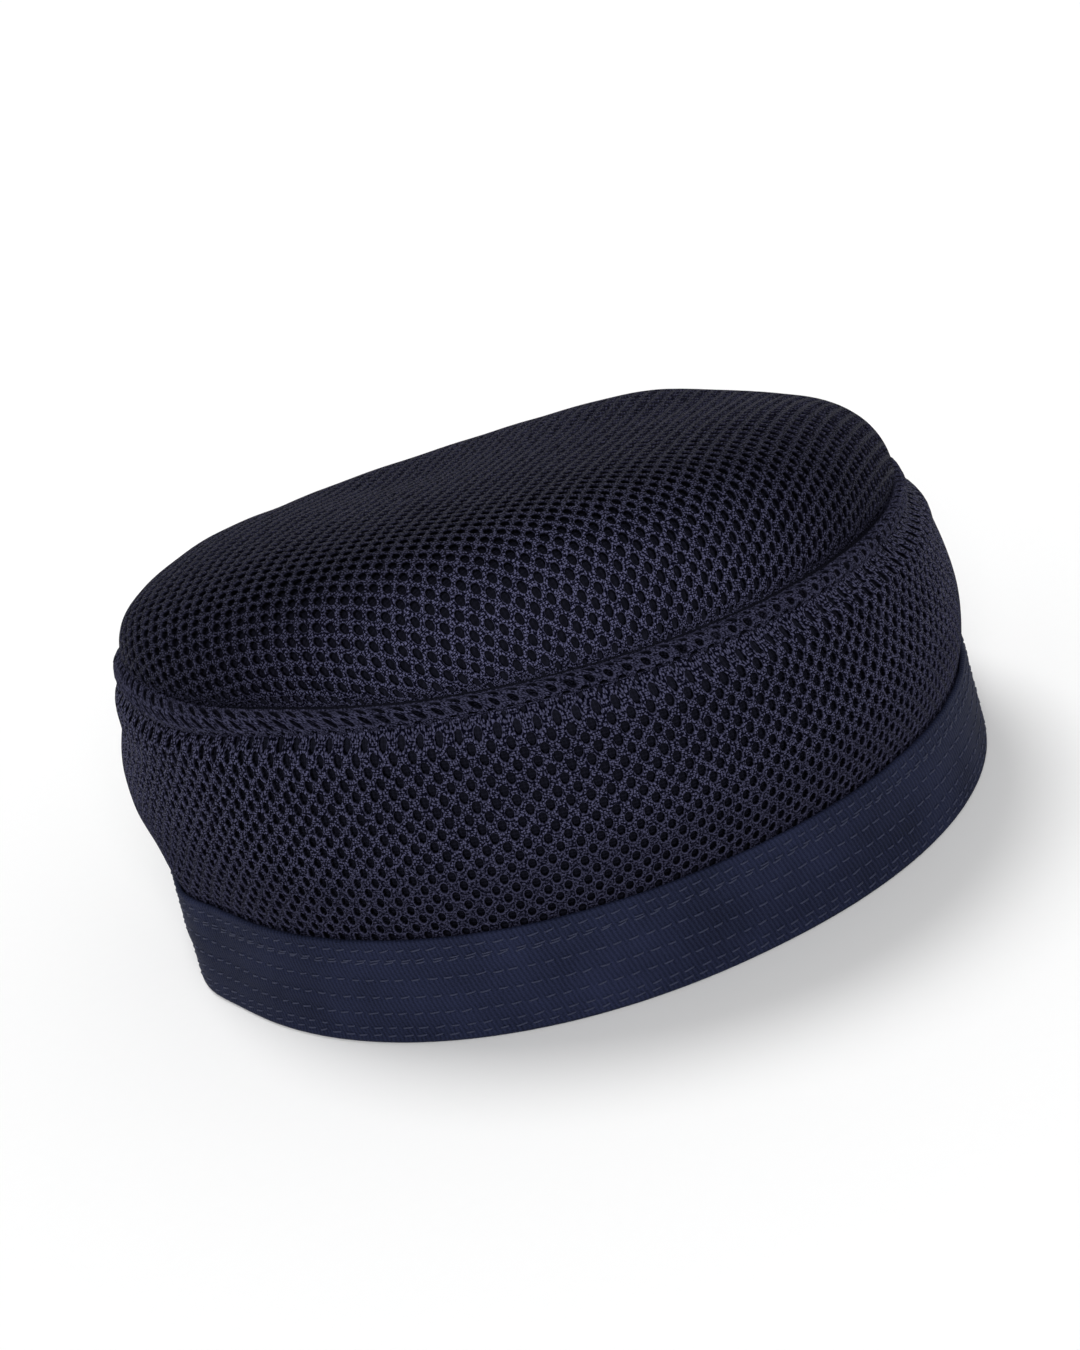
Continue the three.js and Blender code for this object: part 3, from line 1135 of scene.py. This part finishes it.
class CAP_OT_headband(bpy.types.Operator):
    """Headband: strip of twill folded over the wall's lower edge, closed all round."""

    bl_idname = "cap.headband"
    bl_label = "Headband"

    def execute(self, context):
        shape = context.scene.cap_shape
        stitching = context.scene.cap_stitching
        colours = context.scene.cap_colours
        tape = shape.tape_thickness
        band = shape.band_height
        channel = tape + shape.mesh_thickness + 2 * shape.sewn_gap
        lining = LINING_SHARE * band
        bend = 0.75 * tape
        brow = 0.35 * tape
        # The profile runs up the outer face, over its lip, down and up in the channel that holds
        # the wall, over the lining's lip, down the lining and round the fold
        outer_steps, channel_steps, lining_steps = 44, 6, 20
        corner = np.linspace(0, np.pi / 2, 5)
        outer = np.linspace(bend, band - brow, outer_steps)
        lip = np.linspace(0, np.pi, channel_steps + 1)[1:]
        inset = np.concatenate([
            np.zeros(outer_steps), 0.5 * tape * (1 - np.cos(lip)), np.full(channel_steps, tape),
            np.full(channel_steps, channel), channel + 0.5 * tape * (1 - np.cos(lip)),
            np.full(lining_steps, channel + tape),
            channel + tape - bend * (1 - np.cos(corner[1:])), bend * (1 - np.sin(corner[:-1])),
        ])
        height = np.concatenate([
            outer, band - brow * (1 - np.sin(lip)),
            np.linspace(band - tape, tape, channel_steps),
            np.linspace(tape, lining - tape, channel_steps), lining - brow * (1 - np.sin(lip)),
            np.linspace(lining - tape, bend, lining_steps),
            bend * (1 - np.sin(corner[1:])), bend * (1 - np.cos(corner[:-1])),
        ])
        pressed = np.concatenate([
            np.ones(outer_steps), np.zeros(4 * channel_steps), np.full(lining_steps, -1.0),
            np.zeros(2 * (len(corner) - 1)),
        ])
        around = 664
        turn = np.arange(around) / around
        dents = stitch_dents(shape, stitching, height[:, None], turn[None, :])
        uneven = 0.12 * MILLIMETRE * waves(turn * 2, height[:, None] / band)
        upper_ribs = 600
        ribs = 0.05 * MILLIMETRE * np.cos(turn * upper_ribs * 2 * np.pi)
        lifted = (np.abs(height - band) < 0.4 * tape)[:, None] * ribs
        moved = inset[:, None] + pressed[:, None] * dents - uneven * (height > bend)[:, None]
        points = band_point(
            shape, height[:, None] / band + 0 * turn, turn[None, :] + 0 * height[:, None],
            moved - lifted,
        )
        run = np.hypot(np.diff(inset, prepend=inset[0]), np.diff(height, prepend=height[0]))
        faces = grid_faces(around, len(height), closed=True)
        piece = new_piece(
            "headband_twill", points.reshape(-1, 3), faces.ravel(), np.full(len(faces), 4),
            [("fabric", grid_uv(around, len(height), True, BAND_CUT, np.cumsum(run)))],
            twill_material("headband twill", colours),
        )
        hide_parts("headband")
        return {"FINISHED"}


class CAP_OT_stitches(bpy.types.Operator):
    """Stitches of the headband, one row below the other, joined in one piece."""

    bl_idname = "cap.stitches"
    bl_label = "Stitches"

    def execute(self, context):
        shape = context.scene.cap_shape
        stitching = context.scene.cap_stitching
        colours = context.scene.cap_colours
        chance = np.random.default_rng(stitching.seed)
        heights = [(1 - share) * shape.band_height for share in STITCH_ROWS]
        heights.insert(DOUBLE_ROW, heights[DOUBLE_ROW] + stitching.double_gap)
        heights = np.array(heights)
        rows = len(heights)
        per_row = stitching.per_row
        number = np.arange(per_row)
        phase = chance.uniform(0, 1, rows)
        middle = (number[None, :] + phase[:, None] + chance.normal(0, 0.04, (rows, per_row)))
        middle = middle.ravel() / per_row
        level = np.repeat(heights, per_row) + chance.normal(0, 0.00006, rows * per_row)
        length = stitching.length * chance.normal(1.0, 0.08, rows * per_row)
        tilt = stitching.tilt + chance.normal(0, 0.05, rows * per_row)
        # Rings of points along each stitch, whose ends dive into the twill
        rings, sides = 6, 6
        along = np.linspace(-1, 1, rings)
        side = np.arange(sides) / sides * 2 * np.pi
        radius = stitching.thickness / 2 * (1 - 0.25 * along ** 4)
        rise = stitching.thickness * (0.42 - 1.3 * along ** 6)
        forth = along[None, :, None] * length[:, None, None] / 2 + 0 * side
        lift = np.cos(side)[None, None, :] * radius[None, :, None]
        out = np.sin(side)[None, None, :] * radius[None, :, None] + rise[None, :, None]
        height = level[:, None, None] + lift + forth * np.tan(tilt)[:, None, None]
        mean_radius = 0.0955
        turn = middle[:, None, None] + forth / (2 * math.pi * mean_radius)
        points = band_skin(shape, stitching, height, turn, -out)
        count = len(middle)
        quads = grid_faces(sides, rings, closed=False)[:, ::-1]
        each = rings * sides
        caps = np.stack([np.arange(sides), each - 1 - np.arange(sides)])
        starts = (np.arange(count) * each)[:, None, None]
        corners = np.concatenate([(starts + quads).ravel(), (starts + caps).ravel()])
        sizes = np.concatenate([np.full(count * len(quads), 4), np.full(count * 2, sides)])
        local = np.stack(np.broadcast_arrays(forth, lift), axis=-1).reshape(-1, 2)
        piece = new_piece(
            "headband_stitches", points.reshape(-1, 3), corners, sizes,
            [("fabric", local[corners] / MILLIMETRE)],
            thread_material("stitch thread", colours),
        )
        lining = LINING_SHARE * shape.band_height
        shape.band_height + lining + FOLD_ALLOWANCE
        return {"FINISHED"}


class CAP_OT_stage(bpy.types.Operator):
    """Camera at the photograph's angle, soft light and a pale floor."""

    bl_idname = "cap.stage"
    bl_label = "Stage"

    def execute(self, context):
        scene = context.scene
        stage = scene.cap_stage
        self.camera(scene, stage)
        self.sun(scene, "key light", (-0.25, 0.75, 1.9), 25, stage.key)
        self.sun(scene, "fill light", (-0.39, -0.92, 0.65), 30, stage.fill)
        self.room(scene, stage)
        self.floor(scene, stage)
        scene.view_settings.view_transform = "Standard"
        scene.view_settings.look = "None"
        return {"FINISHED"}

    def room(self, scene, stage):
        """White light from all round, stronger from the walls than from the ceiling."""
        world = bpy.data.worlds.new("white room")
        web = Web("white room", world)
        direction = web.add("ShaderNodeTexCoord").outputs["Generated"]
        steep = Wire(web, web.add("ShaderNodeSeparateXYZ", None, {0: direction}).outputs[2])
        strength = stage.walls + steep.between(0.15, 0.6) * (stage.sky - stage.walls)
        background = web.add("ShaderNodeBackground", None, {"Strength": strength})
        background.inputs["Color"].default_value = (1.0, 1.0, 1.0, 1.0)
        web.add("ShaderNodeOutputWorld", None, {"Surface": background.outputs[0]})
        scene.world = world

    def floor(self, scene, stage):
        """Square of pale floor under the cap."""
        half = stage.floor_size / 2
        mesh = bpy.data.meshes.new("floor")
        corners = [(-half, -half, 0), (half, -half, 0), (half, half, 0), (-half, half, 0)]
        mesh.from_pydata(corners, [], [(0, 1, 2, 3)])
        mesh.materials.append(floor_material("floor", scene.cap_colours))
        floor = bpy.data.objects.new("floor", mesh)
        scene.collection.objects.link(floor)

    def camera(self, scene, stage):
        """Camera whose axes come from azimuth, elevation and roll."""
        azimuth = stage.azimuth
        elevation = stage.elevation
        flat = math.cos(elevation)
        back = Vector((flat * math.sin(azimuth), -flat * math.cos(azimuth), math.sin(elevation)))
        level = Vector((math.cos(azimuth), math.sin(azimuth), 0.0))
        steep = back.cross(level)
        right = level * math.cos(stage.roll) + steep * math.sin(stage.roll)
        up = steep * math.cos(stage.roll) - level * math.sin(stage.roll)
        data = bpy.data.cameras.new("camera")
        data.lens = stage.lens
        data.sensor_width = 36.0
        data.clip_start = 0.01
        camera = bpy.data.objects.new("camera", data)
        turned = Matrix((right, up, back)).transposed().to_4x4()
        camera.matrix_world = Matrix.Translation(stage.camera_place) @ turned
        scene.collection.objects.link(camera)
        scene.camera = camera

    def sun(self, scene, name, place, spread, strength):
        """Soft light from the direction of that place, as wide as spread degrees."""
        data = bpy.data.lights.new(name, "SUN")
        data.angle = math.radians(spread)
        data.energy = strength
        light = bpy.data.objects.new(name, data)
        place = Vector(place)
        light.matrix_world = (
            Matrix.Translation(place) @ (-place).to_track_quat("-Z", "Y").to_matrix().to_4x4()
        )
        scene.collection.objects.link(light)


class CAP_PT_panel(bpy.types.Panel):
    """Sizes, colours and pieces of the cap."""

    bl_label = "Prayer Cap"
    bl_idname = "CAP_PT_panel"
    bl_space_type = "VIEW_3D"
    bl_region_type = "UI"
    bl_category = "Prayer Cap"

    def draw(self, context):
        layout = self.layout
        for operator in OPERATORS:
            layout.operator(operator.bl_idname)
        for group in GROUPS:
            box = layout.box()
            for key in GROUPS[group].__annotations__:
                box.prop(getattr(context.scene, group), key)


GROUPS = {
    "cap_shape": CapShape,
    "cap_cloth": SpacerCloth,
    "cap_stitching": Stitching,
    "cap_colours": CapColours,
    "cap_stage": StageSet,
}
OPERATORS = (
    CAP_OT_headband, CAP_OT_stitches, CAP_OT_welt, CAP_OT_wall, CAP_OT_crown, CAP_OT_stage
)


def register():
    for group, kind in GROUPS.items():
        bpy.utils.register_class(kind)
        setattr(bpy.types.Scene, group, PointerProperty(type=kind))
    for kind in (*OPERATORS, CAP_PT_panel):
        bpy.utils.register_class(kind)


def unregister():
    for kind in reversed((*OPERATORS, CAP_PT_panel)):
        bpy.utils.unregister_class(kind)
    for group, kind in GROUPS.items():
        delattr(bpy.types.Scene, group)
        bpy.utils.unregister_class(kind)


def main():
    """Registers the add-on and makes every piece."""
    register()
    bpy.ops.cap.headband()
    bpy.ops.cap.stitches()
    bpy.ops.cap.welt()
    bpy.ops.cap.wall()
    bpy.ops.cap.crown()
    bpy.ops.cap.stage()


if __name__ == "__main__":
    main()
